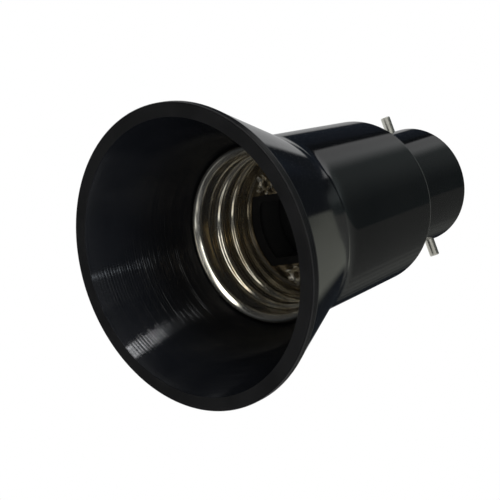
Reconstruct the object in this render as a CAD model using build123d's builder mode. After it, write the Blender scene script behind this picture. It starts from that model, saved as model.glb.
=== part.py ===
"""Lamp socket adapter: a bell housing with a screw socket in its throat and a bayonet cap on its neck."""

import os
from math import cos, radians, sin, tan

from build123d import *

# Sizes are in millimetres. The mouth of the bell stands on Z = 0, and the bayonet neck points up.

# Housing, outside
rim_radius = 23.35
rim_width = 2.2
rim_edge_height = 1.4
rim_edge_round = 0.25
bell_length = 21.3
bell_foot_round = 7.0
body_wall = 1.75
body_taper = 0.7
body_length = 26.1
shoulder_round = 0.4
neck_radius = 11.0
neck_taper = 0.4
neck_length = 19.1
nose_set_in = 3.8
nose_length = 4.5
nose_edge_round = 0.5

# Housing, inside
bell_depth = 18.2
bell_bore_hollow = 0.6
lip_recess = 1.2
lip_clearance = 0.35
base_ledge = 2.2
chamber_room = 6.0
chamber_slope = 1.0
neck_wall = 2.2
end_wall = 2.4
end_wall_slope = 1.7

# Screw shell, rolled from thin sheet
sheet = 0.3
crest_radius = 12.25
thread_depth = 0.95
thread_pitch = 3.63
thread_turns = 3
thread_flat = 0.7
first_crest = 2.2
lip_curl_radius = 0.7
shell_depth = 11.1
shell_clearance = 0.2
floor_corner_radius = 0.9
floor_rim = 0.95

# Socket base, the insulating piece behind the shell
socket_turn = 10.0
base_thickness = 2.0
base_clearance = 0.1
well_clearance = 0.7
well_depth = 5.6
well_wall = 1.2
well_floor = 1.5

# Hollow rivets
rivet_edge = 0.3
rivet_room = 0.1
rivet_bearings = (139.0, 23.0)
rivet_shank_radius = 1.0
rivet_bore_radius = 0.6
rivet_flange_radius = 1.5
slot_land = 0.4
rivet_flange = 0.4
rivet_clearance = 0.05

# Sprung centre contact
leaf_thickness = 0.4
leaf_width = 5.0
leaf_tail = 2.2
leaf_land = 2.0
leaf_rise = 26.0
leaf_stub = 1.3
leaf_root_gap = 0.2
leaf_reach = 5.4
leaf_tip = 1.5
leaf_tip_turn = 55.0
leaf_bend_radius = 0.6
centre_rivet_set_in = 3.4

# Bayonet pins
pin_radius = 0.9
pin_span = 28.2
pin_height_below_nose = 1.3
pin_edge = 0.2
pin_clearance = 0.02

# End contacts
contact_spacing = 8.5
eyelet_radius = 1.45
eyelet_bore_radius = 0.9
eyelet_flange_radius = 2.0
eyelet_flange = 0.35
eyelet_clearance = 0.05
dome_radius = 1.75
dome_height = 0.7
dome_stem = 1.0
dome_clearance = 0.02

# Leads
core_radius = 0.4
sleeve_radius = 0.9
sleeve_clearance = 0.02
lead_solder_height = 0.8
lead_solder_radius = 1.2
lead_start_run = 7.0
lead_cross_run = 13.0
lead_end_gap = 0.5
lead_bend_share = 0.45
core_into_rivet = 1.5

# Heights and radii that follow from the sizes above
body_start = bell_length
shoulder_height = body_start + body_length
neck_end = shoulder_height + neck_length
nose_end = neck_end + nose_length
mouth_radius = rim_radius - rim_width
lip_seat = bell_depth + lip_recess
valley_radius = crest_radius + thread_depth
lip_edge_radius = valley_radius + 2 * lip_curl_radius
throat_radius = lip_edge_radius + lip_clearance
socket_bore_radius = valley_radius + sheet + shell_clearance
body_front_radius = socket_bore_radius + body_wall
body_back_radius = body_front_radius - body_taper
chamber_radius = socket_bore_radius - base_ledge
neck_bore_radius = neck_radius - neck_wall
nose_radius = neck_radius - nose_set_in
floor_opening_radius = crest_radius - floor_rim
well_end_radius = chamber_radius - well_wall - well_clearance
rivet_circle_radius = chamber_radius - rivet_flange_radius - rivet_edge
centre_rivet_offset = well_end_radius - centre_rivet_set_in
slot_setback = rivet_flange_radius + slot_land
slot_left = rivet_circle_radius * cos(radians(rivet_bearings[0])) + slot_setback
slot_right = rivet_circle_radius * cos(radians(rivet_bearings[1])) - slot_setback
slot_middle = (slot_left + slot_right) / 2
floor_slot_width = slot_right - slot_left
well_width = floor_slot_width - 2 * (well_wall + rivet_room)
base_front = lip_seat + shell_depth
base_back = base_front + base_thickness
well_bottom = base_front + well_depth
well_back = well_bottom + well_floor
chamber_end = well_back + chamber_room
end_wall_inside = nose_end - end_wall
pin_height = neck_end - pin_height_below_nose
pin_tip_radius = pin_span / 2
rivet_hole_radius = rivet_shank_radius + rivet_clearance
eyelet_hole_radius = eyelet_radius + eyelet_clearance

# The socket pieces share a frame that is turned a little round the axis from the bayonet pins. The slot, the
# well behind it and the leaf in the well stand off the axis, because one rivet lies nearer to the wall.
socket = Plane.XY.rotated((0, 0, socket_turn))
leaf_plane = Plane(origin=socket.x_dir * slot_middle, x_dir=socket.y_dir, z_dir=socket.x_dir)
shell_rivet_places = [
    (rivet_circle_radius * cos(radians(bearing)), rivet_circle_radius * sin(radians(bearing)))
    for bearing in rivet_bearings
]
centre_rivet_place = (slot_middle, -centre_rivet_offset)
contact_places = [(0, contact_spacing / 2), (0, -contact_spacing / 2)]


def rounded_rings(part, radius, height, reach=0.01):
    """The circular edges of a part that have the given radius and stand at the given height."""
    rings = part.edges().filter_by(GeomType.CIRCLE)
    rings = rings.filter_by(lambda ring: abs(ring.radius - radius) < reach)
    return rings.filter_by(lambda ring: abs(ring.center().Z - height) < reach)


def save(piece, name):
    """Labels a finished piece and writes it to its own file."""
    piece.part.label = name
    export_step(piece.part, f"parts/{name}.step")


os.makedirs("parts", exist_ok=True)

# Housing: one moulding, turned from its half section, with holes for the pins and the end contacts
with BuildPart() as housing:
    with BuildSketch(Plane.XZ):
        with BuildLine():
            Polyline(
                (mouth_radius, 0),
                (rim_radius, 0),
                (rim_radius, rim_edge_height),
                (body_front_radius, body_start),
                (body_back_radius, shoulder_height),
                (neck_radius - neck_taper, shoulder_height),
                (neck_radius, neck_end),
                (nose_radius, nose_end),
                (0, nose_end),
                (0, end_wall_inside),
                (neck_bore_radius - end_wall_slope, end_wall_inside),
                (neck_bore_radius, end_wall_inside - end_wall_slope),
                (neck_bore_radius, chamber_end + chamber_slope),
                (chamber_radius, chamber_end),
                (chamber_radius, base_back),
                (socket_bore_radius, base_back),
                (socket_bore_radius, lip_seat),
                (throat_radius, lip_seat),
                (throat_radius, bell_depth),
            )
            SagittaArc((throat_radius, bell_depth), (mouth_radius, 0), -bell_bore_hollow)
        make_face()
    revolve(axis=Axis.Z)
    fillet(rounded_rings(housing, rim_radius, 0), rim_edge_round)
    fillet(rounded_rings(housing, body_front_radius, body_start), bell_foot_round)
    fillet(rounded_rings(housing, body_back_radius, shoulder_height), shoulder_round)
    fillet(rounded_rings(housing, nose_radius, nose_end), nose_edge_round)
    with BuildSketch(Plane.YZ):
        with Locations((0, pin_height)):
            Circle(pin_radius + pin_clearance)
    extrude(amount=neck_radius, both=True, mode=Mode.SUBTRACT)
    with BuildSketch(Plane.XY.offset(nose_end)):
        with Locations(*contact_places):
            Circle(eyelet_hole_radius)
    extrude(amount=-end_wall, mode=Mode.SUBTRACT)
save(housing, "housing")

# Screw shell: the ridges of its thread, a lip curled outwards at the mouth and a slotted floor
crests = [lip_seat + first_crest + turn * thread_pitch for turn in range(thread_turns)]
lip_centre = (valley_radius + lip_curl_radius, bell_depth + lip_curl_radius)
corner_start = base_front - sheet - floor_corner_radius


def shell_wall(offset_out):
    """Points down one side of the shell's wall: flats at crests and valleys, straight flanks between."""
    half_flat = thread_flat / 2
    points = []
    for crest in crests:
        valley = crest - thread_pitch / 2
        for radius, middle in ((valley_radius, valley), (crest_radius, crest)):
            points.append((radius + offset_out, middle - half_flat))
            points.append((radius + offset_out, middle + half_flat))
    return points[1:-1]


with BuildPart() as screw_shell:
    with BuildSketch(Plane.XZ):
        with BuildLine():
            Polyline((valley_radius, lip_centre[1]), *shell_wall(0), (crest_radius, corner_start))
            TangentArc(
                (crest_radius, corner_start),
                (crest_radius - floor_corner_radius, base_front - sheet),
                tangent=(0, 1),
            )
            Polyline(
                (crest_radius - floor_corner_radius, base_front - sheet),
                (0, base_front - sheet),
                (0, base_front),
                (crest_radius - floor_corner_radius, base_front),
            )
            TangentArc(
                (crest_radius - floor_corner_radius, base_front),
                (crest_radius + sheet, corner_start),
                tangent=(1, 0),
            )
            Polyline(
                (crest_radius + sheet, corner_start),
                *reversed(shell_wall(sheet)),
                (valley_radius + sheet, lip_centre[1]),
            )
            ThreePointArc(
                (valley_radius + sheet, lip_centre[1]),
                (lip_centre[0], bell_depth + sheet),
                (lip_edge_radius - sheet, lip_centre[1]),
            )
            Polyline(
                (lip_edge_radius - sheet, lip_centre[1]),
                (lip_edge_radius - sheet, lip_seat),
                (lip_edge_radius, lip_seat),
                (lip_edge_radius, lip_centre[1]),
            )
            ThreePointArc(
                (lip_edge_radius, lip_centre[1]),
                (lip_centre[0], bell_depth),
                (valley_radius, lip_centre[1]),
            )
        make_face()
    revolve(axis=Axis.Z)
    with BuildSketch(socket.offset(base_front)):
        Circle(floor_opening_radius)
        with Locations((slot_middle, 0)):
            Rectangle(floor_slot_width, 2 * floor_opening_radius, mode=Mode.INTERSECT)
        with Locations(*shell_rivet_places):
            Circle(rivet_hole_radius)
    extrude(amount=-sheet, mode=Mode.SUBTRACT)
save(screw_shell, "screw_shell")

# Socket base: a disc with a well for the centre contact, closed at the back
with BuildPart() as socket_base:
    with BuildSketch(socket.offset(base_front)):
        Circle(socket_bore_radius - base_clearance)
    extrude(amount=base_thickness)
    with BuildSketch(socket.offset(base_back)):
        Circle(well_end_radius + well_wall)
        with Locations((slot_middle, 0)):
            Rectangle(well_width + 2 * well_wall, 2 * (well_end_radius + well_wall), mode=Mode.INTERSECT)
    extrude(amount=well_back - base_back)
    with BuildSketch(socket.offset(base_front)):
        Circle(well_end_radius)
        with Locations((slot_middle, 0)):
            Rectangle(well_width, 2 * well_end_radius, mode=Mode.INTERSECT)
    extrude(amount=well_depth, mode=Mode.SUBTRACT)
    with BuildSketch(socket.offset(base_front)):
        with Locations(*shell_rivet_places, centre_rivet_place):
            Circle(rivet_hole_radius)
    extrude(amount=well_back - base_front, mode=Mode.SUBTRACT)
save(socket_base, "socket_base")


def hollow_rivet(place, front, back):
    """A hollow rivet that clamps what lies between two heights, with a flange at each end."""
    with BuildPart() as rivet:
        with BuildSketch(socket.offset(front - rivet_flange)):
            with Locations(place):
                Circle(rivet_flange_radius)
        extrude(amount=rivet_flange)
        with BuildSketch(socket.offset(front)):
            with Locations(place):
                Circle(rivet_shank_radius)
        extrude(amount=back - front)
        with BuildSketch(socket.offset(back)):
            with Locations(place):
                Circle(rivet_flange_radius)
        extrude(amount=rivet_flange)
        with BuildSketch(socket.offset(front - rivet_flange)):
            with Locations(place):
                Circle(rivet_bore_radius)
        extrude(amount=back - front + 2 * rivet_flange, mode=Mode.SUBTRACT)
    return rivet


leaf_back = well_bottom
leaf_front = leaf_back - leaf_thickness
for number, place in enumerate(shell_rivet_places, start=1):
    save(hollow_rivet(place, base_front - sheet, base_back), f"shell_rivet_{number}")
save(hollow_rivet(centre_rivet_place, leaf_front, well_back), "centre_rivet")

# Centre contact: a leaf riveted to the floor of the well, whose tongue springs towards the mouth
rise = (cos(radians(leaf_rise)), -sin(radians(leaf_rise)))
leaf_middle = leaf_back - leaf_thickness / 2
leaf_bend = (-centre_rivet_offset + leaf_land, leaf_middle)


def along_leaf(distance):
    """The point at a distance along the rising part of the leaf, measured from its bend."""
    return (leaf_bend[0] + rise[0] * distance, leaf_bend[1] + rise[1] * distance)


tip_angle = radians(leaf_rise - leaf_tip_turn)
crown = along_leaf(leaf_stub + leaf_root_gap + leaf_reach)
tongue_end = (crown[0] + leaf_tip * cos(tip_angle), crown[1] - leaf_tip * sin(tip_angle))

with BuildPart() as centre_contact_foot:
    with BuildSketch(leaf_plane):
        with BuildLine() as foot_line:
            FilletPolyline(
                (-centre_rivet_offset - leaf_tail, leaf_middle),
                leaf_bend,
                along_leaf(leaf_stub),
                radius=leaf_bend_radius,
            )
        trace(foot_line.line, line_width=leaf_thickness)
    extrude(amount=leaf_width / 2, both=True)
    with BuildSketch(socket.offset(leaf_back)):
        with Locations(centre_rivet_place):
            Circle(rivet_hole_radius)
    extrude(amount=-leaf_thickness, mode=Mode.SUBTRACT)
save(centre_contact_foot, "centre_contact_foot")

with BuildPart() as centre_contact_tongue:
    with BuildSketch(leaf_plane):
        with BuildLine() as tongue_line:
            tongue_root = along_leaf(leaf_stub + leaf_root_gap)
            FilletPolyline(tongue_root, crown, tongue_end, radius=leaf_bend_radius)
        trace(tongue_line.line, line_width=leaf_thickness)
    extrude(amount=leaf_width / 2, both=True)
save(centre_contact_tongue, "centre_contact_tongue")

# Bayonet pins: pressed through the neck wall from opposite sides
for number, side in enumerate((1, -1), start=1):
    outward = Plane(origin=(0, 0, 0), x_dir=(0, side, 0), z_dir=(side, 0, 0))
    with BuildPart() as bayonet_pin:
        with BuildSketch(outward.offset(neck_bore_radius)):
            with Locations((0, pin_height)):
                Circle(pin_radius)
        extrude(amount=pin_tip_radius - neck_bore_radius)
        chamfer(bayonet_pin.faces().sort_by(Axis((0, 0, 0), (side, 0, 0)))[-1].edges(), pin_edge)
    save(bayonet_pin, f"bayonet_pin_{number}")

# Leads: one from the first shell rivet and one from the centre rivet, each to its own end contact
lead_names = ("shell", "centre")
lead_rivets = (shell_rivet_places[0], centre_rivet_place)
lead_starts = (base_back + rivet_flange, well_back + rivet_flange)
dome_base = nose_end + eyelet_flange
leads = zip(lead_names, lead_rivets, lead_starts, contact_places)

for name, rivet_place, rivet_back, contact_place in leads:
    # End contact: an eyelet through the end wall, filled from outside by a dome of solder
    with BuildPart() as end_contact:
        with BuildSketch(Plane.XY.offset(end_wall_inside)):
            with Locations(contact_place):
                Circle(eyelet_radius)
        extrude(amount=end_wall)
        for flange_start in (end_wall_inside - eyelet_flange, nose_end):
            with BuildSketch(Plane.XY.offset(flange_start)):
                with Locations(contact_place):
                    Circle(eyelet_flange_radius)
            extrude(amount=eyelet_flange)
        with BuildSketch(Plane.XY.offset(end_wall_inside - eyelet_flange)):
            with Locations(contact_place):
                Circle(eyelet_bore_radius)
        extrude(amount=end_wall + 2 * eyelet_flange, mode=Mode.SUBTRACT)
    save(end_contact, f"{name}_end_contact")

    dome_axis = Axis((*contact_place, 0), (0, 0, 1))
    with BuildPart() as contact_dome:
        with BuildSketch(Plane.XZ.offset(-contact_place[1])):
            with BuildLine():
                Polyline(
                    (dome_radius, dome_base),
                    (eyelet_bore_radius - dome_clearance, dome_base),
                    (eyelet_bore_radius - dome_clearance, dome_base - dome_stem),
                    (0, dome_base - dome_stem),
                    (0, dome_base + dome_height),
                )
                TangentArc((0, dome_base + dome_height), (dome_radius, dome_base), tangent=(1, 0))
            make_face()
        revolve(axis=dome_axis)
    save(contact_dome, f"{name}_contact_dome")

    # Route: straight out of the rivet, across to the contact's line, then straight up to the eyelet
    rivet_point = socket.from_local_coords((*rivet_place, rivet_back))
    contact_point = Vector(*contact_place, end_wall_inside - eyelet_flange - lead_end_gap)
    leave = rivet_point + Vector(0, 0, lead_start_run)
    arrive = Vector(*contact_place, leave.Z + lead_cross_run)
    runs = (leave - rivet_point, arrive - leave, contact_point - arrive)
    bends = []
    for first, second in zip(runs, runs[1:]):
        half_turn = radians(first.get_angle(second) / 2)
        bends.append(lead_bend_share * min(first.length, second.length) / tan(half_turn))

    with BuildPart() as lead_sleeve:
        with BuildLine() as sleeve_route:
            sleeve_start = rivet_point + Vector(0, 0, lead_solder_height)
            FilletPolyline(sleeve_start, leave, arrive, contact_point, radius=bends)
        with BuildSketch(Plane(origin=sleeve_start, z_dir=(0, 0, 1))):
            Circle(sleeve_radius)
            Circle(core_radius + sleeve_clearance, mode=Mode.SUBTRACT)
        sweep()
    save(lead_sleeve, f"{name}_lead_sleeve")

    with BuildPart() as lead_core:
        with BuildLine() as core_route:
            core_start = rivet_point - Vector(0, 0, core_into_rivet)
            core_end = Vector(*contact_place, dome_base - dome_stem)
            FilletPolyline(core_start, leave, arrive, core_end, radius=bends)
        with BuildSketch(Plane(origin=core_start, z_dir=(0, 0, 1))):
            Circle(core_radius)
        sweep()
    save(lead_core, f"{name}_lead_core")

    with BuildPart() as lead_solder:
        with BuildSketch(socket.offset(rivet_back)):
            with Locations(rivet_place):
                Circle(lead_solder_radius)
        with BuildSketch(socket.offset(rivet_back + lead_solder_height)):
            with Locations(rivet_place):
                Circle(sleeve_radius)
        loft()
        with BuildSketch(socket.offset(rivet_back)):
            with Locations(rivet_place):
                Circle(core_radius + sleeve_clearance)
        extrude(amount=lead_solder_height, mode=Mode.SUBTRACT)
    save(lead_solder, f"{name}_lead_solder")
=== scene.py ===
"""Lamp socket adapter: black bell housing, nickel screw shell and bayonet cap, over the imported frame."""
from math import cos, pi, radians, sin

import bmesh
import bpy
import numpy as np
from mathutils import Matrix, Vector


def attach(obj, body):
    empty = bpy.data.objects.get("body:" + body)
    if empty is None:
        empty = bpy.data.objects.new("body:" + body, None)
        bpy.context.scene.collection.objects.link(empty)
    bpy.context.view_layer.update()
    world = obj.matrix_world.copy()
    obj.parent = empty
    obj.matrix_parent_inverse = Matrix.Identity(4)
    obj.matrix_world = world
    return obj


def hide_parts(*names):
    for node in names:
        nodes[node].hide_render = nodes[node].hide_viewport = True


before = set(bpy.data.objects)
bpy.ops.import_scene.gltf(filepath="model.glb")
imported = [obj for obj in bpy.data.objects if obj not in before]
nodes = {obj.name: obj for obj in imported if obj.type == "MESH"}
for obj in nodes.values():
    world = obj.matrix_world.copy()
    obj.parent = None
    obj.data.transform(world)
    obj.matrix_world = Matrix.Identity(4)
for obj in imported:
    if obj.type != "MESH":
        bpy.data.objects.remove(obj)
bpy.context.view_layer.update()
scene = bpy.context.scene

# A millimetre, and how near points are when they are welded, in metres
MM, WELD = 0.001, 2e-7

# Sizes in millimetres, as in the solids, but for the bell's foot, the rim's edge, the shell's lip and helix
RIM_RADIUS, RIM_WIDTH, RIM_EDGE, RIM_ROUND = 23.35, 2.2, 1.1, 0.25
BELL_LENGTH, BELL_FOOT, BELL_DEPTH, BORE_HOLLOW = 21.3, 11.0, 18.2, 0.6
BODY_FRONT, BODY_BACK, SHOULDER, SHOULDER_ROUND = 15.45, 14.75, 47.4, 0.4
NECK_ROOT, NECK_RADIUS, NECK_END = 10.6, 11.0, 66.5
NOSE_RADIUS, NOSE_END, NOSE_ROUND = 7.2, 71.0, 0.5
THROAT_RADIUS, LIP_SEAT, SOCKET_BORE = 14.95, 19.4, 13.7
BASE_FRONT, BASE_BACK = 30.5, 32.5
CHAMBER_RADIUS, CHAMBER_END, CHAMBER_SLOPE = 11.5, 43.6, 1.0
WELL_BOTTOM, WELL_BACK, LEAF_THICK = 36.1, 37.6, 0.4
NECK_BORE, END_WALL_INSIDE, END_SLOPE = 8.8, 68.6, 1.7
SHEET, CREST, VALLEY, PITCH, FIRST_CREST = 0.3, 12.25, 13.2, 3.63, 22.85
THREAD_IN, THREAD_OUT = (20.9, 22.3), (27.6, 29.2)
LIP_CURL, LIP_EDGE, LIP_THROAT = 0.7, 0.45, 0.8
FLOOR_CORNER, FLOOR_OPENING, SLOT_LEFT, SLOT_RIGHT = 0.9, 11.3, -5.4208, 7.0289
SOCKET_TURN = radians(10.0)
RIVET_CIRCLE, CENTRE_RIVET_Y = 9.7, -6.2
PIN_RADIUS, PIN_TIP, PIN_HEIGHT, PIN_ROUND, PIN_STEP = 0.9, 14.1, 65.2, 0.2, 0.5
CONTACT_Y, EYELET_THICK = 4.25, 0.35


# Points, grids and meshes

def smoothstep(low, high, value):
    """0 below low, 1 above high, and 3t^2 - 2t^3 of the share of the way between them."""
    t = np.clip((value - low) / (high - low), 0, 1)
    return t * t * (3 - 2 * t)


def polar(radius, bearing):
    """A place at a distance from the axis, at a bearing in degrees."""
    return radius * cos(radians(bearing)), radius * sin(radians(bearing))


def line(start, end, count):
    """Points evenly spaced from a start to an end."""
    return np.linspace(start, end, count)


def arc(centre, radius, start, end, count):
    """Points on a circle about a centre, from a start to an end angle in degrees."""
    a = np.radians(np.linspace(start, end, count))
    return np.stack([centre[0] + radius * np.cos(a), centre[1] + radius * np.sin(a)], 1)


def short_arc(centre, radius, first, last, count):
    """Points on a circle about a centre, the short way round between two directions from it."""
    a = np.arctan2(first[1], first[0])
    b = a + (np.arctan2(last[1], last[0]) - a + pi) % (2 * pi) - pi
    turn = np.linspace(a, b, count)
    return centre + radius * np.stack([np.cos(turn), np.sin(turn)], 1)


def bow(start, end, sagitta, count):
    """Points on the arc between two ends whose middle stands off the chord, to its left, by the sagitta."""
    start, end = np.array(start, float), np.array(end, float)
    chord = end - start
    length = np.hypot(*chord)
    left = np.array([-chord[1], chord[0]]) / length
    radius = (length * length / 4 + sagitta * sagitta) / (2 * sagitta)
    centre = (start + end) / 2 - left * (radius - sagitta)
    return short_arc(centre, abs(radius), start - centre, end - centre, count)


def rounded(before, corner, after, radius, count):
    """Points on the arc of a given radius that touches both straight ways through a corner."""
    before, corner, after = (np.array(p, float) for p in (before, corner, after))
    come = (before - corner) / np.hypot(*(before - corner))
    go = (after - corner) / np.hypot(*(after - corner))
    half = np.arccos(np.clip(come @ go, -1, 1)) / 2
    middle = (come + go) / np.hypot(*(come + go))
    centre = corner + middle * radius / np.sin(half)
    first = corner + come * radius / np.tan(half) - centre
    last = corner + go * radius / np.tan(half) - centre
    return short_arc(centre, radius, first, last, count)


def turned(profile, segments, place=(0, 0, 0), axis=(0, 0, 1), across=(1, 0, 0), change=None):
    """A grid of points: a profile of radius and height carried round an axis, after an optional change."""
    axis, across = np.array(axis, float), np.array(across, float)
    third = np.cross(axis, across)
    turn = np.linspace(0, 2 * pi, segments, endpoint=False)
    radius = np.broadcast_to(profile[:, :1], (len(profile), segments))
    height = np.broadcast_to(profile[:, 1:], radius.shape)
    if change is not None:
        radius, height = change(radius, height, turn)
    radial = np.cos(turn)[:, None] * across + np.sin(turn)[:, None] * third
    return np.array(place, float) + radius[..., None] * radial + height[..., None] * axis


def put_mesh(name, points, closed, body, replaced, materials, row_slots=None, sharp=35):
    """A mesh from a grid of points in millimetres: each four neighbours make a face, the columns wrap round,
    and so do the rows of a closed section."""
    rows, columns = points.shape[:2]
    index = np.arange(rows * columns).reshape(rows, columns)
    if closed:
        index = np.concatenate([index, index[:1]], 0)
    index = np.concatenate([index, index[:, :1]], 1)
    faces = np.stack([index[:-1, :-1], index[:-1, 1:], index[1:, 1:], index[1:, :-1]], -1)
    face_slots = np.zeros(faces.shape[:2], np.int32)
    if row_slots is not None:
        face_slots += np.asarray(row_slots, np.int32)[: faces.shape[0], None]
    mesh = bpy.data.meshes.new(name)
    mesh.from_pydata((points.reshape(-1, 3) * MM).tolist(), [], faces.reshape(-1, 4).tolist())
    for material in materials:
        mesh.materials.append(material)
    mesh.polygons.foreach_set("material_index", face_slots.reshape(-1))
    finish_piece(name, mesh, body, replaced, sharp)


def finish_piece(name, mesh, body, replaced, sharp):
    """Welds a mesh's poles, smooths it up to a sharp angle and rides it on a body in place of its nodes."""
    work = bmesh.new()
    work.from_mesh(mesh)
    bmesh.ops.remove_doubles(work, verts=work.verts, dist=WELD)
    bmesh.ops.recalc_face_normals(work, faces=work.faces)
    work.to_mesh(mesh)
    work.free()
    mesh.shade_smooth()
    mesh.set_sharp_from_angle(angle=radians(sharp))
    piece = bpy.data.objects.new(name, mesh)
    scene.collection.objects.link(piece)
    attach(piece, body)
    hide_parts(*replaced)


# Shader building blocks

def new_material(name):
    """A node material with its tree and its shader."""
    material = bpy.data.materials.new(name)
    material.use_nodes = True
    tree = material.node_tree
    return material, tree, tree.nodes["Principled BSDF"]


def fill(tree, node, inputs):
    """Fills a node's inputs with values or links."""
    for key, value in inputs.items():
        if isinstance(value, bpy.types.NodeSocket):
            tree.links.new(value, node.inputs[key])
        else:
            node.inputs[key].default_value = value


def add(tree, kind, inputs=None, **settings):
    """Adds a node, sets its options and fills its inputs."""
    node = tree.nodes.new(kind)
    for key, value in settings.items():
        setattr(node, key, value)
    fill(tree, node, inputs or {})
    return node


def math(tree, operation, first, second=0.0, third=0.0):
    """One sum on numbers or links, returned as a link."""
    return add(tree, "ShaderNodeMath", {0: first, 1: second, 2: third}, operation=operation).outputs[0]


def remap(tree, value, low, high, to_low, to_high, smooth=True):
    """A value's range carried to another range, held at the ends."""
    kind = "SMOOTHSTEP" if smooth else "LINEAR"
    ends = {"Value": value, "From Min": low, "From Max": high, "To Min": to_low, "To Max": to_high}
    return add(tree, "ShaderNodeMapRange", ends, interpolation_type=kind).outputs["Result"]


def between(tree, share, low, high):
    """A number from low to high as a share goes from 0 to 1."""
    return remap(tree, share, 0.0, 1.0, low, high)


def mix_colour(tree, share, first, second):
    """A blend of two colours by a share."""
    return add(tree, "ShaderNodeMix", {0: share, 6: first, 7: second}, data_type="RGBA").outputs[2]


def noise(tree, inputs, **settings):
    """The value of a noise, as a link."""
    return add(tree, "ShaderNodeTexNoise", inputs, **settings).outputs["Fac"]


def bumped(tree, height, depth, strength):
    """A surface direction tilted by a height map whose full depth is given in millimetres."""
    inputs = {"Height": height, "Distance": depth * MM, "Strength": strength}
    return add(tree, "ShaderNodeBump", inputs).outputs["Normal"]


def object_place(tree):
    """The x, y and z of the shaded point in the frame that the pieces share, in metres."""
    place = add(tree, "ShaderNodeTexCoord").outputs["Object"]
    return add(tree, "ShaderNodeSeparateXYZ", {0: place}).outputs


def from_axis(tree, x, y):
    """The distance of a point from the axis: the square root of the sum of the squares."""
    squares = math(tree, "ADD", math(tree, "POWER", x, 2.0), math(tree, "POWER", y, 2.0))
    return math(tree, "SQRT", squares)


def group(name, inputs, outputs):
    """An empty node group with named number inputs and outputs."""
    tree = bpy.data.node_groups.new(name, "ShaderNodeTree")
    for socket, value in inputs.items():
        made = tree.interface.new_socket(socket, in_out="INPUT", socket_type="NodeSocketFloat")
        made.default_value = value
    for socket in outputs:
        tree.interface.new_socket(socket, in_out="OUTPUT", socket_type="NodeSocketFloat")
    return tree, tree.nodes.new("NodeGroupInput"), tree.nodes.new("NodeGroupOutput")


def use(tree, made, **values):
    """Places a shared group in a material with its own values."""
    node = tree.nodes.new("ShaderNodeGroup")
    node.node_tree = made
    for key, value in values.items():
        node.inputs[key.replace("_", " ")].default_value = value
    return node.outputs


def make_mottle():
    """Group: soft patches and fine specks at scales per metre, as masks from 0 to 1, and a bump height."""
    inputs = {"Patch Scale": 120.0, "Speck Scale": 3000.0}
    tree, given, out = group("mottle", inputs, ("Patches", "Specks", "Height"))
    place = add(tree, "ShaderNodeTexCoord").outputs["Object"]
    patches = noise(tree, {"Vector": place, "Scale": given.outputs["Patch Scale"], "Detail": 3.0})
    specks = noise(tree, {"Vector": place, "Scale": given.outputs["Speck Scale"], "Detail": 2.0})
    fill(tree, out, {
        "Patches": remap(tree, patches, 0.35, 0.65, 0.0, 1.0),
        "Specks": remap(tree, specks, 0.45, 0.75, 0.0, 1.0),
        "Height": math(tree, "MULTIPLY_ADD", specks, 0.2, patches),
    })
    return tree


WIDE_SHARE, FEED_PACE = 0.13, 3.9


def make_turning_lines():
    """Group: fine rings about the axis from a cutting tool. Noise along the slope gives uneven rings and
    wider swells, a sine gives an even feed mark, and all of them fade in and out round the piece."""
    inputs = {"Lines": 9000.0, "Break": 60.0, "Uneven": 1.0, "Wide": 0.6, "Feed": 0.0}
    tree, given, out = group("turning_lines", inputs, ("Lines", "Height"))
    x, y, z = object_place(tree)
    along = math(tree, "ADD", z, from_axis(tree, x, y))
    lines = given.outputs["Lines"]
    wide_lines = math(tree, "MULTIPLY", lines, WIDE_SHARE)
    rings = noise(tree, {"W": along, "Scale": lines, "Detail": 2.0}, noise_dimensions="1D")
    wide = noise(tree, {"W": along, "Scale": wide_lines, "Detail": 1.0}, noise_dimensions="1D")
    feed = math(tree, "SINE", math(tree, "MULTIPLY", math(tree, "MULTIPLY", along, lines), FEED_PACE))
    broken = math(tree, "MULTIPLY", along, given.outputs["Break"])
    spin = add(tree, "ShaderNodeCombineXYZ", {0: broken, 1: math(tree, "ARCTAN2", y, x)}).outputs[0]
    fade = noise(tree, {"Vector": spin, "Scale": 3.0, "Detail": 2.0})
    swell = math(tree, "MULTIPLY", math(tree, "SUBTRACT", wide, 0.5), given.outputs["Wide"])
    uneven = math(tree, "SUBTRACT", rings, 0.5)
    uneven = math(tree, "MULTIPLY_ADD", uneven, given.outputs["Uneven"], swell)
    marks = math(tree, "MULTIPLY_ADD", feed, given.outputs["Feed"], uneven)
    height = math(tree, "MULTIPLY", marks, remap(tree, fade, 0.3, 0.7, 0.5, 1.0))
    fill(tree, out, {"Lines": remap(tree, height, -0.3, 0.3, 0.0, 1.0), "Height": height})
    return tree


MOTTLE = make_mottle()
TURNING_LINES = make_turning_lines()


# Materials

def gloss_black():
    """Moulded black with a polished skin: faint flow marks, specks of dust and a painted highlight along the
    shoulder's edge.
    """
    material, tree, shader = new_material("gloss_black_skin")
    marks = use(tree, MOTTLE, Patch_Scale=90.0, Speck_Scale=2600.0)
    colour = mix_colour(tree, marks["Patches"], (0.0024, 0.0025, 0.0028, 1), (0.0036, 0.0036, 0.0038, 1))
    x, y, z = object_place(tree)
    high = remap(tree, z, (SHOULDER - 0.55) * MM, (SHOULDER - 0.3) * MM, 0.0, 1.0)
    wide = remap(tree, from_axis(tree, x, y), (BODY_BACK - 0.6) * MM, (BODY_BACK - 0.3) * MM, 0.0, 1.0)
    edge = math(tree, "MULTIPLY", high, wide)
    # Painted highlight: a paler line along the rounded shoulder edge, uneven over soft patches.
    painted_edge_highlight = math(tree, "MULTIPLY", edge, between(tree, marks["Patches"], 0.65, 1.0))
    fill(tree, shader, {
        "Base Color": mix_colour(tree, painted_edge_highlight, colour, (0.075, 0.077, 0.073, 1)),
        "Roughness": between(tree, marks["Specks"], 0.06, 0.12),
        "Normal": bumped(tree, marks["Height"], 0.02, 0.35),
    })
    return material


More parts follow.
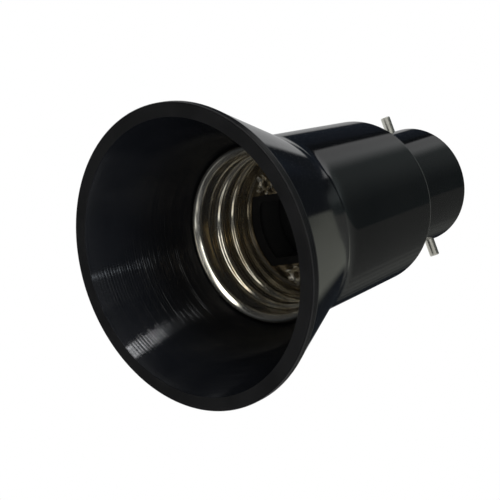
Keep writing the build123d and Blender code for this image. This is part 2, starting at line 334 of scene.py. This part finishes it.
def rim_black(name, smooth, rough, shine):
    """The cut face of the rim and its side: the same black, dulled by fine rings."""
    material, tree, shader = new_material(name)
    rings = use(tree, TURNING_LINES, Lines=7000.0, Break=40.0)
    marks = use(tree, MOTTLE, Patch_Scale=150.0, Speck_Scale=4000.0)
    dark, pale = (0.0060, 0.0060, 0.0064, 1), (0.0090, 0.0090, 0.0095, 1)
    fill(tree, shader, {
        "Base Color": mix_colour(tree, marks["Patches"], dark, pale),
        "Roughness": between(tree, rings["Lines"], smooth, rough),
        "Specular IOR Level": shine,
        "Normal": bumped(tree, rings["Height"], 0.01, 0.5),
    })
    return material


def bore_black():
    """The inside of the bell: satin black, darkened inwards by painted shade, with fine rings that grow
    deeper inwards and pull a highlight out along the slope."""
    material, tree, shader = new_material("bell_bore_satin_black")
    rings = use(tree, TURNING_LINES, Lines=6200.0, Break=120.0, Uneven=1.1, Wide=0.3, Feed=0.24)
    marks = use(tree, MOTTLE, Patch_Scale=160.0, Speck_Scale=4200.0)
    depth = object_place(tree)["Z"]
    pale_to, dark_from = 4.0 * MM, 14.0 * MM
    # Painted shade: the colour darkens from 4 mm to 14 mm into the bell.
    painted_depth_shade = remap(tree, depth, pale_to, dark_from, 0.0, 0.8)
    colour = mix_colour(tree, marks["Patches"], (0.0050, 0.0058, 0.0076, 1), (0.0066, 0.0074, 0.0094, 1))
    deeper = remap(tree, depth, 0.0, BELL_DEPTH * MM, 1.0, 1.95, False)
    fill(tree, shader, {
        "Base Color": mix_colour(tree, painted_depth_shade, colour, (0.0026, 0.0026, 0.0028, 1)),
        "Roughness": between(tree, rings["Lines"], 0.09, 0.17),
        "Anisotropic": 0.95,
        "Anisotropic Rotation": 0.25,
        "Tangent": add(tree, "ShaderNodeTangent", direction_type="RADIAL", axis="Z").outputs[0],
        "Normal": bumped(tree, math(tree, "MULTIPLY", rings["Height"], deeper), 0.032, 1.0),
    })
    return material


def plain_black(name, shade, rough, painted_wall_light=None):
    """Inside of the housing and the socket base: dull black with faint mould texture, and painted light on
    the walls of the base's well, a paler shade where one is given."""
    material, tree, shader = new_material(name)
    marks = use(tree, MOTTLE, Patch_Scale=200.0, Speck_Scale=5000.0)
    dark = (0.8 * shade, 0.8 * shade, 0.84 * shade, 1)
    pale = (1.2 * shade, 1.2 * shade, 1.24 * shade, 1)
    colour = mix_colour(tree, marks["Patches"], dark, pale)
    # Painted light: the shaded walls of the well are made paler than its bottom.
    if painted_wall_light:
        height = object_place(tree)["Z"]
        inside = remap(tree, height, (BASE_FRONT + 0.1) * MM, (BASE_FRONT + 0.9) * MM, 0.0, 1.0)
        above = remap(tree, height, (WELL_BOTTOM - 0.6) * MM, (WELL_BOTTOM - 0.1) * MM, 1.0, 0.0)
        walls = math(tree, "MULTIPLY", inside, above)
        colour = mix_colour(tree, walls, colour, (painted_wall_light, painted_wall_light, painted_wall_light, 1))
    fill(tree, shader, {
        "Base Color": colour,
        "Roughness": between(tree, marks["Specks"], rough - 0.07, rough + 0.07),
        "Specular IOR Level": 0.3,
        "Normal": bumped(tree, marks["Height"], 0.03, 0.4),
    })
    return material


def metal(name, light, dark, smooth, rough, patch_scale, depth):
    """A plated or rolled metal: colour and gloss change over soft patches, with fine specks as bumps."""
    material, tree, shader = new_material(name)
    marks = use(tree, MOTTLE, Patch_Scale=patch_scale, Speck_Scale=patch_scale * 22)
    fill(tree, shader, {
        "Base Color": mix_colour(tree, marks["Patches"], (*light, 1), (*dark, 1)),
        "Roughness": between(tree, marks["Specks"], smooth, rough),
        "Metallic": 1.0,
        "Normal": bumped(tree, marks["Height"], depth, 0.5),
    })
    return material


def shell_nickel():
    """Bright nickel on the rolled shell: brown drawing rings, warmer where the plate is thin towards the
    floor, and darker brown at the corner and floor."""
    material, tree, shader = new_material("shell_bright_nickel")
    rings = use(tree, TURNING_LINES, Lines=6000.0, Break=30.0)
    marks = use(tree, MOTTLE, Patch_Scale=260.0, Speck_Scale=22000.0)
    height = object_place(tree)["Z"]
    deep = remap(tree, height, (BELL_DEPTH + 1.3) * MM, (BASE_FRONT - 1.0) * MM, 0.0, 1.0)
    warm = math(tree, "MULTIPLY", deep, between(tree, marks["Patches"], 0.7, 1.0))
    brown = remap(tree, rings["Lines"], 0.45, 0.9, 0.0, 0.7)
    # Darker brown towards the floor, over its corner and the floor itself.
    floor_darkening = remap(tree, height, (BASE_FRONT - 1.3) * MM, (BASE_FRONT - 0.4) * MM, 0.0, 0.85)
    colour = mix_colour(tree, warm, (0.76, 0.735, 0.66, 1), (0.70, 0.63, 0.49, 1))
    colour = mix_colour(tree, brown, colour, (0.50, 0.42, 0.29, 1))
    fill(tree, shader, {
        "Base Color": mix_colour(tree, floor_darkening, colour, (0.20, 0.165, 0.115, 1)),
        "Roughness": between(tree, marks["Specks"], 0.10, 0.32),
        "Metallic": 0.97,
        "Normal": bumped(tree, rings["Height"], 0.006, 0.5),
    })
    return material


def sleeve(name, colour, worn):
    """Smooth wire insulation with a faint rub."""
    material, tree, shader = new_material(name)
    marks = use(tree, MOTTLE, Patch_Scale=300.0, Speck_Scale=6000.0)
    fill(tree, shader, {
        "Base Color": mix_colour(tree, marks["Patches"], (*colour, 1), (*worn, 1)),
        "Roughness": between(tree, marks["Specks"], 0.35, 0.5),
    })
    return material


GLOSS, BORE = gloss_black(), bore_black()
RIM = rim_black("rim_satin_black", 0.42, 0.58, 0.5)
RIM_SIDE = rim_black("rim_side_black", 0.22, 0.32, 0.2)
INNER = plain_black("inner_satin_black", 0.0045, 0.48)
# The base's well gets painted light on its walls: a paler shade of 0.018.
BASE = plain_black("base_matt_black", 0.0045, 0.75, 0.018)
NICKEL = shell_nickel()
RIVET = metal("rivet_nickel_plate", (0.90, 0.88, 0.82), (0.80, 0.74, 0.62), 0.14, 0.26, 300.0, 0.01)
PIN = metal("pin_drawn_wire", (0.52, 0.52, 0.47), (0.40, 0.39, 0.34), 0.22, 0.36, 500.0, 0.02)
LEAF = metal("rolled_spring_brass", (0.80, 0.62, 0.32), (0.68, 0.49, 0.22), 0.20, 0.34, 360.0, 0.02)
EYELET = metal("turned_contact_brass", (0.80, 0.63, 0.34), (0.66, 0.48, 0.22), 0.20, 0.36, 420.0, 0.02)
SOLDER = metal("flowed_tin_solder", (0.72, 0.73, 0.74), (0.52, 0.53, 0.55), 0.22, 0.42, 520.0, 0.05)
COPPER = metal("drawn_copper_wire", (0.82, 0.45, 0.30), (0.66, 0.33, 0.20), 0.25, 0.38, 500.0, 0.02)
BLUE = sleeve("blue_wire_sleeve", (0.03, 0.08, 0.35), (0.04, 0.10, 0.40))
BROWN = sleeve("brown_wire_sleeve", (0.16, 0.06, 0.025), (0.20, 0.08, 0.035))


# Housing: the half section of the moulding, outside from the rim to the nose, then back down the inside

HOUSING_MATERIALS = [GLOSS, RIM, BORE, INNER, RIM_SIDE]


def housing_section():
    """The closed half section as points, with the material slot of the strip that starts at each point."""
    mouth, bore_start = RIM_RADIUS - RIM_WIDTH, CHAMBER_END + CHAMBER_SLOPE
    corner = (RIM_RADIUS - RIM_ROUND, RIM_ROUND)
    foot = rounded((RIM_RADIUS, RIM_EDGE), (BODY_FRONT, BELL_LENGTH), (BODY_BACK, SHOULDER), BELL_FOOT, 40)
    bell = line((RIM_RADIUS, RIM_EDGE), foot[0], 40)[1:-1]
    shoulder = (BODY_BACK - SHOULDER_ROUND, SHOULDER - SHOULDER_ROUND)
    nose_turn = np.degrees(np.arctan2(NOSE_END - NECK_END, NECK_RADIUS - NOSE_RADIUS))
    nose_in = NOSE_RADIUS - NOSE_ROUND * np.tan(radians(nose_turn / 2))
    nose = arc((nose_in, NOSE_END - NOSE_ROUND), NOSE_ROUND, 90 - nose_turn, 90, 8)
    outside = [
        (line((mouth, 0), (RIM_RADIUS - RIM_ROUND, 0), 8), RIM),
        (arc(corner, RIM_ROUND, -90, 0, 8), RIM_SIDE),
        (line((RIM_RADIUS, RIM_ROUND), (RIM_RADIUS, RIM_EDGE), 6)[1:], RIM_SIDE),
        (bell, GLOSS),
        (foot, GLOSS),
        (line(foot[-1], (BODY_BACK, SHOULDER - SHOULDER_ROUND), 40)[1:], GLOSS),
        (arc(shoulder, SHOULDER_ROUND, 0, 90, 12)[1:], GLOSS),
        (line((BODY_BACK - SHOULDER_ROUND, SHOULDER), (NECK_ROOT, SHOULDER), 12)[1:], GLOSS),
        (line((NECK_ROOT, SHOULDER), (NECK_RADIUS, NECK_END), 32)[1:], GLOSS),
        (line((NECK_RADIUS, NECK_END), nose[0], 12)[1:], GLOSS),
        (nose[1:], GLOSS),
        (line((nose_in, NOSE_END), (0, NOSE_END), 16)[1:], GLOSS),
    ]
    inside = [
        (line((0, END_WALL_INSIDE), (NECK_BORE - END_SLOPE, END_WALL_INSIDE), 8), INNER),
        (line((NECK_BORE, END_WALL_INSIDE - END_SLOPE), (NECK_BORE, bore_start), 10), INNER),
        (line((CHAMBER_RADIUS, CHAMBER_END), (CHAMBER_RADIUS, BASE_BACK), 6), INNER),
        (line((SOCKET_BORE, BASE_BACK), (SOCKET_BORE, LIP_SEAT), 8), INNER),
        (line((THROAT_RADIUS, LIP_SEAT), (THROAT_RADIUS, BELL_DEPTH), 4), BORE),
        (bow((THROAT_RADIUS, BELL_DEPTH), (mouth, 0), -BORE_HOLLOW, 56)[1:-1], BORE),
    ]
    runs = outside + inside
    points = np.concatenate([run for run, _ in runs])
    slots = np.concatenate([np.full(len(run), HOUSING_MATERIALS.index(material)) for run, material in runs])
    return points, slots


section, section_slots = housing_section()
put_mesh("housing_moulding", turned(section, 288), True, "adapter", ["housing"],
         HOUSING_MATERIALS, section_slots, sharp=28)


# Screw shell: rolled sheet with a helical thread, a lip curled outwards and a floor with a slot across it

def thread_radius(height, turn):
    """Inner radius of the wall: equal arcs at crest and valley meet half way and climb one pitch a turn.
    The thread is eased into the plain collar behind the lip, and into a plain wall ahead of the floor."""
    depth, quarter = VALLEY - CREST, PITCH / 4
    knuckle = (quarter * quarter + depth * depth / 4) / depth
    share = height / PITCH - turn / (2 * pi) - (FIRST_CREST / PITCH - 0.5)
    from_valley = PITCH * np.abs(share - np.round(share))
    dip = np.where(from_valley < quarter, from_valley, 2 * quarter - from_valley)
    dip = knuckle - np.sqrt(knuckle * knuckle - dip * dip)
    wave = np.where(from_valley < quarter, 1 - dip / depth, dip / depth)
    wave = 1 + (wave - 1) * smoothstep(*THREAD_IN, height)
    wave = wave * (1 - smoothstep(*THREAD_OUT, height))
    return CREST + (VALLEY - CREST) * wave


def floor_opening(turn):
    """Radius of the floor's opening: a circle cut off by the two straight edges of the slot."""
    across, least = np.cos(turn - SOCKET_TURN), 1e-6
    edge = np.where(across > 0, SLOT_RIGHT, SLOT_LEFT) / np.where(np.abs(across) < least, least, across)
    return np.minimum(FLOOR_OPENING, np.abs(edge))


def shell_grid(segments=280):
    """The shell's closed section carried round the axis, inner face then outer: a rolled edge, a lip that
    opens like a cone, the threaded wall, a corner and the floor."""
    right, left = np.arccos(SLOT_RIGHT / FLOOR_OPENING), np.arccos(SLOT_LEFT / FLOOR_OPENING)
    slot_ends = (SOCKET_TURN + np.array([right, -right, left, -left])) % (2 * pi)
    turn = np.sort(np.concatenate([np.linspace(0, 2 * pi, segments, endpoint=False), slot_ends]))
    opening = floor_opening(turn)
    edge = (VALLEY + 2 * LIP_CURL - LIP_EDGE, BELL_DEPTH + LIP_EDGE)
    cone = np.array(edge) - LIP_EDGE * sin(pi / 4)
    throat = VALLEY + LIP_THROAT * (1 - sin(pi / 4))
    collar = (VALLEY + LIP_THROAT, cone[1] + cone[0] - throat + LIP_THROAT * sin(pi / 4))
    corner = (CREST - FLOOR_CORNER, BASE_FRONT - SHEET - FLOOR_CORNER)
    wall = np.linspace(collar[1], corner[1], 120)

    def level(points):
        """The radius of each point, the same all round."""
        return np.broadcast_to(points[:, :1], (len(points), len(turn)))

    def side(offset):
        """One face of the sheet from the lip's edge to the slot, moved out by the offset."""
        start = [(edge[0] + LIP_EDGE - offset, LIP_SEAT)]
        roll = arc(edge, LIP_EDGE - offset, 0, -135, 14)
        flare = arc(collar, LIP_THROAT - offset, 225, 180, 12)[:-1]
        lip = np.concatenate([start, roll, flare])
        bend = arc(corner, FLOOR_CORNER + offset, 0, 90, 10)[1:]
        threaded = thread_radius(wall[:, None], turn) + offset
        share = np.linspace(0, 1, 12)[1:, None]
        floor_radius = corner[0] + (opening - corner[0]) * share
        floor_height = np.full(len(share), BASE_FRONT - SHEET + offset)
        radius = np.concatenate([level(lip), threaded, level(bend), floor_radius])
        return radius, np.concatenate([lip[:, 1], wall, bend[:, 1], floor_height])

    inner_radius, inner_height = side(0.0)
    outer_radius, outer_height = side(SHEET)
    radius = np.concatenate([inner_radius, outer_radius[::-1]])
    height = np.concatenate([inner_height, outer_height[::-1]])[:, None]
    height = np.broadcast_to(height, radius.shape)
    return np.stack([radius * np.cos(turn), radius * np.sin(turn), height], -1)


put_mesh("screw_shell_rolled", shell_grid(), True, "adapter", ["screw_shell"], [NICKEL])


# Rivets, pins, end contacts and their solder

def rivet_section(front, back, shank=1.0, bore=0.6, flange=1.5, thick=0.4, chamfer=0.12):
    """Half section of a hollow rivet with rolled flanges at both ends, from the front of its bore round."""
    half = thick / 2
    return np.concatenate([
        line((bore + chamfer, front - thick), (flange - half, front - thick), 14),
        arc((flange - half, front - half), half, -90, 90, 10)[1:],
        line((shank, front), (shank, back), 4),
        arc((flange - half, back + half), half, -90, 90, 10),
        line((bore + chamfer, back + thick), (bore, back + thick - chamfer), 3),
        line((bore, back), (bore, front - thick + chamfer), 6),
    ])


def petals(front, seed, shank=1.0, flange=1.5, count=5):
    """A change to a rivet's front flange. A cosine round it makes the petals, and a slower sine makes them
    uneven. They curl up most at their tips and draw in at the notches, and two fine sines fold them."""
    def crumple(r, h, turn):
        free = smoothstep(shank - 0.25, flange, r) * (h < front + 0.01)
        petal = 0.5 + 0.5 * np.cos(count * turn + 0.9 * np.sin(2 * turn + seed))
        lift = 0.15 + 0.75 * (0.6 + 0.4 * np.sin(2 * turn + seed)) * petal
        fold = 0.06 * np.sin(11 * turn + 4 * r + seed) + 0.03 * np.sin(17 * turn - 5 * r)
        spread = 0.22 * petal - 0.26 * (1 - petal) ** 2
        return r * (1 + free * spread), h - free * (lift + fold)
    return crumple


def socket_place(x, y):
    """A place in the socket's turned frame, in millimetres."""
    return (x * cos(SOCKET_TURN) - y * sin(SOCKET_TURN), x * sin(SOCKET_TURN) + y * cos(SOCKET_TURN), 0)


SLOT_MIDDLE = (SLOT_LEFT + SLOT_RIGHT) / 2
RIVETS = [
    # name, place in the socket's frame, front and back of what it holds, seed of its crumpled petals
    ("shell_rivet_1", polar(RIVET_CIRCLE, 139), BASE_FRONT - SHEET, BASE_BACK, 0.4),
    ("shell_rivet_2", polar(RIVET_CIRCLE, 23), BASE_FRONT - SHEET, BASE_BACK, 2.3),
    ("centre_rivet", (SLOT_MIDDLE, CENTRE_RIVET_Y), WELL_BOTTOM - LEAF_THICK, WELL_BACK, None),
]
for name, place, front, back, seed in RIVETS:
    crumpled = None if seed is None else petals(front, seed)
    rivet = turned(rivet_section(front, back), 160, socket_place(*place), change=crumpled)
    put_mesh(f"{name}_rolled", rivet, True, "adapter", [name], [RIVET], sharp=60)

PIN_SECTION = np.concatenate([
    line((0, NECK_BORE), (PIN_RADIUS, NECK_BORE), 5),
    line((PIN_RADIUS, NECK_BORE + PIN_STEP), (PIN_RADIUS, PIN_TIP - PIN_ROUND), 12),
    arc((PIN_RADIUS - PIN_ROUND, PIN_TIP - PIN_ROUND), PIN_ROUND, 0, 90, 8)[1:],
    line((PIN_RADIUS - PIN_ROUND, PIN_TIP), (0, PIN_TIP), 5)[1:],
])
for name, side in (("bayonet_pin_1", 1), ("bayonet_pin_2", -1)):
    pin = turned(PIN_SECTION, 48, (0, 0, PIN_HEIGHT), (side, 0, 0), (0, side, 0))
    put_mesh(f"{name}_wire", pin, False, "adapter", [name], [PIN])


def eyelet_section(radius=1.45, bore=0.9, flange=2.0, thick=EYELET_THICK):
    """Half section of an end contact's eyelet: a tube through the end wall with rolled flanges."""
    half = thick / 2
    return np.concatenate([
        line((bore, END_WALL_INSIDE - thick), (flange - half, END_WALL_INSIDE - thick), 6),
        arc((flange - half, END_WALL_INSIDE - half), half, -90, 90, 10)[1:],
        line((radius, END_WALL_INSIDE), (radius, NOSE_END), 4),
        arc((flange - half, NOSE_END + half), half, -90, 90, 10),
        line((bore, NOSE_END + thick), (bore, END_WALL_INSIDE - thick), 6)[:-1],
    ])


def solder_dome(y, seed, top=0.7, radius=1.75, stem=1.0, bore=0.88):
    """A solder dome with its stem: a cap of a ball, made uneven by the product of two sines round it."""
    base = NOSE_END + EYELET_THICK
    ball = (radius * radius + top * top) / (2 * top)
    spread = np.degrees(np.arcsin(radius / ball))
    profile = np.concatenate([
        arc((0, base + top - ball), ball, 90, 90 - spread, 24),
        line((radius, base), (bore, base), 5)[1:],
        line((bore, base - stem), (0, base - stem), 5),
    ])

    def uneven(r, h, turn):
        free = smoothstep(base - 0.02, base + 0.25, h)
        wave = 0.5 + 0.5 * np.sin(turn * 2 + seed) * np.sin(turn * 3 + 2.1 * seed)
        narrow = 0.05 * wave * smoothstep(0.2, 1.2, r) * (h >= base)
        return r * (1 - narrow), h - 0.07 * free * wave * (r / radius)

    return turned(profile, 96, (0, y, 0), change=uneven)


for name, y, seed in (("shell", CONTACT_Y, 0.7), ("centre", -CONTACT_Y, 2.9)):
    eyelet = turned(eyelet_section(), 96, (0, y, 0))
    put_mesh(f"{name}_end_contact_turned", eyelet, True, "adapter",
             [f"{name}_end_contact"], [EYELET], sharp=50)
    put_mesh(f"{name}_contact_bead", solder_dome(y, seed), False, "adapter",
             [f"{name}_contact_dome"], [SOLDER], sharp=50)

# The solids that stay as they are
for name, material in (
    ("socket_base", BASE), ("centre_contact_foot", LEAF), ("centre_contact_tongue", LEAF),
    ("shell_lead_sleeve", BLUE), ("centre_lead_sleeve", BROWN),
    ("shell_lead_core", COPPER), ("centre_lead_core", COPPER),
    ("shell_lead_solder", SOLDER), ("centre_lead_solder", SOLDER),
):
    nodes[name].data.materials.clear()
    nodes[name].data.materials.append(material)


# Studio: a pale floor that lets light through under the mouth, and a surround of soft panels

FLOOR_INSIDE, FLOOR_HOLE, FLOOR_REACH, FLOOR_DROP = RIM_RADIUS - 1.0, 23.6, 1200.0, 0.02


def pale_floor():
    """Off-white, clear from below and, to all but the camera, under the mouth, so that light gets in."""
    material, tree, shader = new_material("pale_floor")
    marks = use(tree, MOTTLE, Patch_Scale=6.0, Speck_Scale=900.0)
    colour = mix_colour(tree, marks["Patches"], (0.86, 0.86, 0.86, 1), (0.90, 0.90, 0.90, 1))
    fill(tree, shader, {"Base Color": colour, "Roughness": 0.7})
    place = add(tree, "ShaderNodeTexCoord").outputs["Object"]
    across = add(tree, "ShaderNodeVectorMath", {0: place}, operation="LENGTH").outputs["Value"]
    inside = math(tree, "LESS_THAN", across, FLOOR_HOLE * MM)
    unseen = math(tree, "SUBTRACT", 1.0, add(tree, "ShaderNodeLightPath").outputs["Is Camera Ray"])
    below = add(tree, "ShaderNodeNewGeometry").outputs["Backfacing"]
    hidden = math(tree, "MAXIMUM", below, math(tree, "MULTIPLY", inside, unseen))
    clear = add(tree, "ShaderNodeBsdfTransparent").outputs[0]
    both = add(tree, "ShaderNodeMixShader", {0: hidden, 1: shader.outputs[0], 2: clear})
    tree.links.new(both.outputs[0], tree.nodes["Material Output"].inputs["Surface"])
    return material


def lay_floor():
    """A flat floor of rings about the axis, just under the rim."""
    turn = np.linspace(0, 2 * pi, 128, endpoint=False)
    ring = np.array([FLOOR_INSIDE, FLOOR_HOLE, 40, 90, 200, 500, FLOOR_REACH])[:, None]
    height = np.full((len(ring), len(turn)), -FLOOR_DROP)
    points = np.stack([ring * np.cos(turn), ring * np.sin(turn), height], -1)
    index = np.arange(height.size).reshape(height.shape)
    index = np.concatenate([index, index[:, :1]], 1)
    quads = np.stack([index[:-1, :-1], index[1:, :-1], index[1:, 1:], index[:-1, 1:]], -1)
    mesh = bpy.data.meshes.new("floor")
    mesh.from_pydata((points.reshape(-1, 3) * MM).tolist(), [], quads.reshape(-1, 4).tolist())
    mesh.materials.append(pale_floor())
    floor = bpy.data.objects.new("floor", mesh)
    scene.collection.objects.link(floor)


lay_floor()

ROOM_LIGHT = (0.014, 0.017, 0.021)
PANELS = [
    # bearing, half width, soft left, soft right, lowest, highest, soft rise, slant, red-green-blue light
    # Tent wall, with a dim opening on one side
    (90, 166, 5, 5, 2, 30, 8, 0, (1.1, 1.1, 1.1)),
    (270, 12, 4, 4, -64, 36, 8, 0, (0.11, 0.11, 0.11)),
    # White backdrop, its raised corner and the dark gap beside it
    (89, 14, 4, 6, 36, 51, 3, 0, (0.9, 0.9, 0.9)),
    (117, 12, 5, 6, 44, 64.5, 2.5, 0, (0.42, 0.42, 0.42)),
    (152, 14, 8, 8, 48, 72, 6, 0, (0.010, 0.014, 0.022)),
    # Strip that shows on the flank of the body and the neck, and its fall-off
    (191, 9, 5, 22, 44, 75, 2, -1.0, (0.46, 0.46, 0.46)),
    (215, 12, 20, 50, 44, 84, 3, -0.6, (0.10, 0.11, 0.108)),
    # Soft wall, its brighter half and a patch overhead
    (262, 42, 25, 2, 40, 87, 3, 0, (0.040, 0.050, 0.047)),
    (346, 40, 2, 32, 40, 87, 3, 0, (0.112, 0.114, 0.103)),
    (65, 26, 10, 12, 70, 83, 5, 0, (0.195, 0.20, 0.168)),
    # Lamp of three bars and a weaker bar, which make the streaks in the bell's bore
    (215.6, 0.9, 0.7, 0.7, -23, -8, 4, 0, (15.0, 15.2, 15.6)),
    (219.0, 0.8, 0.7, 0.7, -23, -8, 4, 0, (12.5, 12.7, 13.1)),
    (222.4, 0.9, 0.7, 0.7, -23, -8, 4, 0, (15.0, 15.2, 15.6)),
    (281, 0.9, 0.6, 0.6, -34, -14, 4, 0, (3.2, 3.5, 3.8)),
    # Window in front of the mouth, more light in a part of it, and a second window on the other side
    (240, 40, 8, 14, -42, -32.5, 2, 0, (2.2, 2.16, 2.0)),
    (215, 18, 8, 8, -39, -32, 2, 0, (1.4, 1.38, 1.3)),
    (8, 34, 12, 12, -42, -38.5, 2, 0, (0.62, 0.61, 0.57)),
    # Small lamps for the shell's floor and its rivets, and the dim room in front of the mouth
    (318, 8, 4, 4, -58, -46, 4, 0, (1.0, 1.0, 0.95)),
    (90, 30, 15, 15, -86, -77, 3, 0, (1.6, 1.5, 1.3)),
    (270, 115, 25, 25, -89, -5, 5, 0, (0.052, 0.052, 0.052)),
]
# Slats that show as faint lines low on the body
PANELS += [(bearing, 1.2, 1.4, 1.4, 40, 68, 3, 0, (0.05, 0.052, 0.046)) for bearing in (14, 23, 32, 41, 50)]


def panel(tree, way, rise, middle, half_width, soft_left, soft_right, low, high, soft_rise, slant):
    """Share of light from a patch of the surround: a window in bearing and in rise, in degrees, with soft
    edges. The slant turns the bearing by so many degrees for each degree of rise from the middle."""
    cosine, sine = cos(radians(middle)), sin(radians(middle))
    ahead = math(tree, "MULTIPLY_ADD", way["X"], cosine, math(tree, "MULTIPLY", way["Y"], sine))
    aside = math(tree, "MULTIPLY_ADD", way["Y"], cosine, math(tree, "MULTIPLY", way["X"], -sine))
    bearing = math(tree, "ARCTAN2", aside, ahead)
    if slant:
        above = math(tree, "SUBTRACT", rise, radians((low + high) / 2))
        bearing = math(tree, "MULTIPLY_ADD", above, -slant, bearing)
    half, left, right = radians(half_width), radians(soft_left), radians(soft_right)
    low, high, soft = radians(low), radians(high), radians(soft_rise)
    mask = remap(tree, bearing, -half - left, -half, 0.0, 1.0)
    mask = math(tree, "MULTIPLY", mask, remap(tree, bearing, half, half + right, 1.0, 0.0))
    mask = math(tree, "MULTIPLY", mask, remap(tree, rise, low - soft, low, 0.0, 1.0))
    return math(tree, "MULTIPLY", mask, remap(tree, rise, high, high + soft, 1.0, 0.0))


def studio_world():
    """The surround: a dim room to which each panel adds its light. The camera sees plain white."""
    world = bpy.data.worlds.new("soft_studio")
    scene.world = world
    world.use_nodes = True
    tree = world.node_tree
    tree.nodes.clear()
    way = add(tree, "ShaderNodeTexCoord").outputs["Generated"]
    way = add(tree, "ShaderNodeSeparateXYZ", {0: way}).outputs
    rise = math(tree, "ARCSINE", way["Z"])
    light = ROOM_LIGHT
    for *window, colour in PANELS:
        parts = {0: panel(tree, way, rise, *window), 1: colour, 2: light}
        light = add(tree, "ShaderNodeVectorMath", parts, operation="MULTIPLY_ADD").outputs[0]
    seen = add(tree, "ShaderNodeLightPath").outputs["Is Camera Ray"]
    light = mix_colour(tree, seen, light, (1, 1, 1, 1))
    background = add(tree, "ShaderNodeBackground", {"Color": light, "Strength": 1.0})
    tree.links.new(background.outputs[0], add(tree, "ShaderNodeOutputWorld").inputs["Surface"])


def soft_lamp(name, bearing, rise, strength, spread):
    """A wide, far lamp at a bearing and a rise in degrees, which leaves no reflection."""
    lamp = bpy.data.objects.new(name, bpy.data.lights.new(name, "SUN"))
    lamp.data.energy, lamp.data.angle = strength, radians(spread)
    towards = Vector((*polar(cos(radians(rise)), bearing), sin(radians(rise))))
    lamp.rotation_euler = towards.to_track_quat("Z", "Y").to_euler()
    lamp.visible_glossy = False
    scene.collection.objects.link(lamp)


studio_world()
soft_lamp("overhead_lamp", 90, 88, 1.6, 90)
soft_lamp("front_lamp", 268, -52, 1.0, 60)
soft_lamp("side_lamp", 345, -50, 1.3, 60)


# Camera: its place in millimetres, its directions, and its sensor and lens in millimetres

CAMERA_PLACE = (4.404, -112.392, -114.368)
CAMERA_RIGHT, CAMERA_AHEAD = (0.3384, -0.7061, 0.622), (-0.0158, 0.6566, 0.7541)
CAMERA_SENSOR, CAMERA_LENS = 36.0, 78.145
CAMERA_NEAREST, CAMERA_FARTHEST = 5.0, 10000.0


def photograph_camera():
    """The photograph's view, from below the mouth, rolled so that the neck points right."""
    camera = bpy.data.objects.new("camera", bpy.data.cameras.new("camera"))
    scene.collection.objects.link(camera)
    scene.camera = camera
    right, ahead = Vector(CAMERA_RIGHT).normalized(), Vector(CAMERA_AHEAD).normalized()
    up = right.cross(ahead)
    right = ahead.cross(up)
    turn = Matrix((right, up, -ahead)).transposed().to_4x4()
    camera.matrix_world = Matrix.Translation(Vector(CAMERA_PLACE) * MM) @ turn
    camera.data.sensor_width, camera.data.lens = CAMERA_SENSOR, CAMERA_LENS
    camera.data.clip_start, camera.data.clip_end = CAMERA_NEAREST * MM, CAMERA_FARTHEST * MM


photograph_camera()
scene.view_settings.view_transform = "Standard"
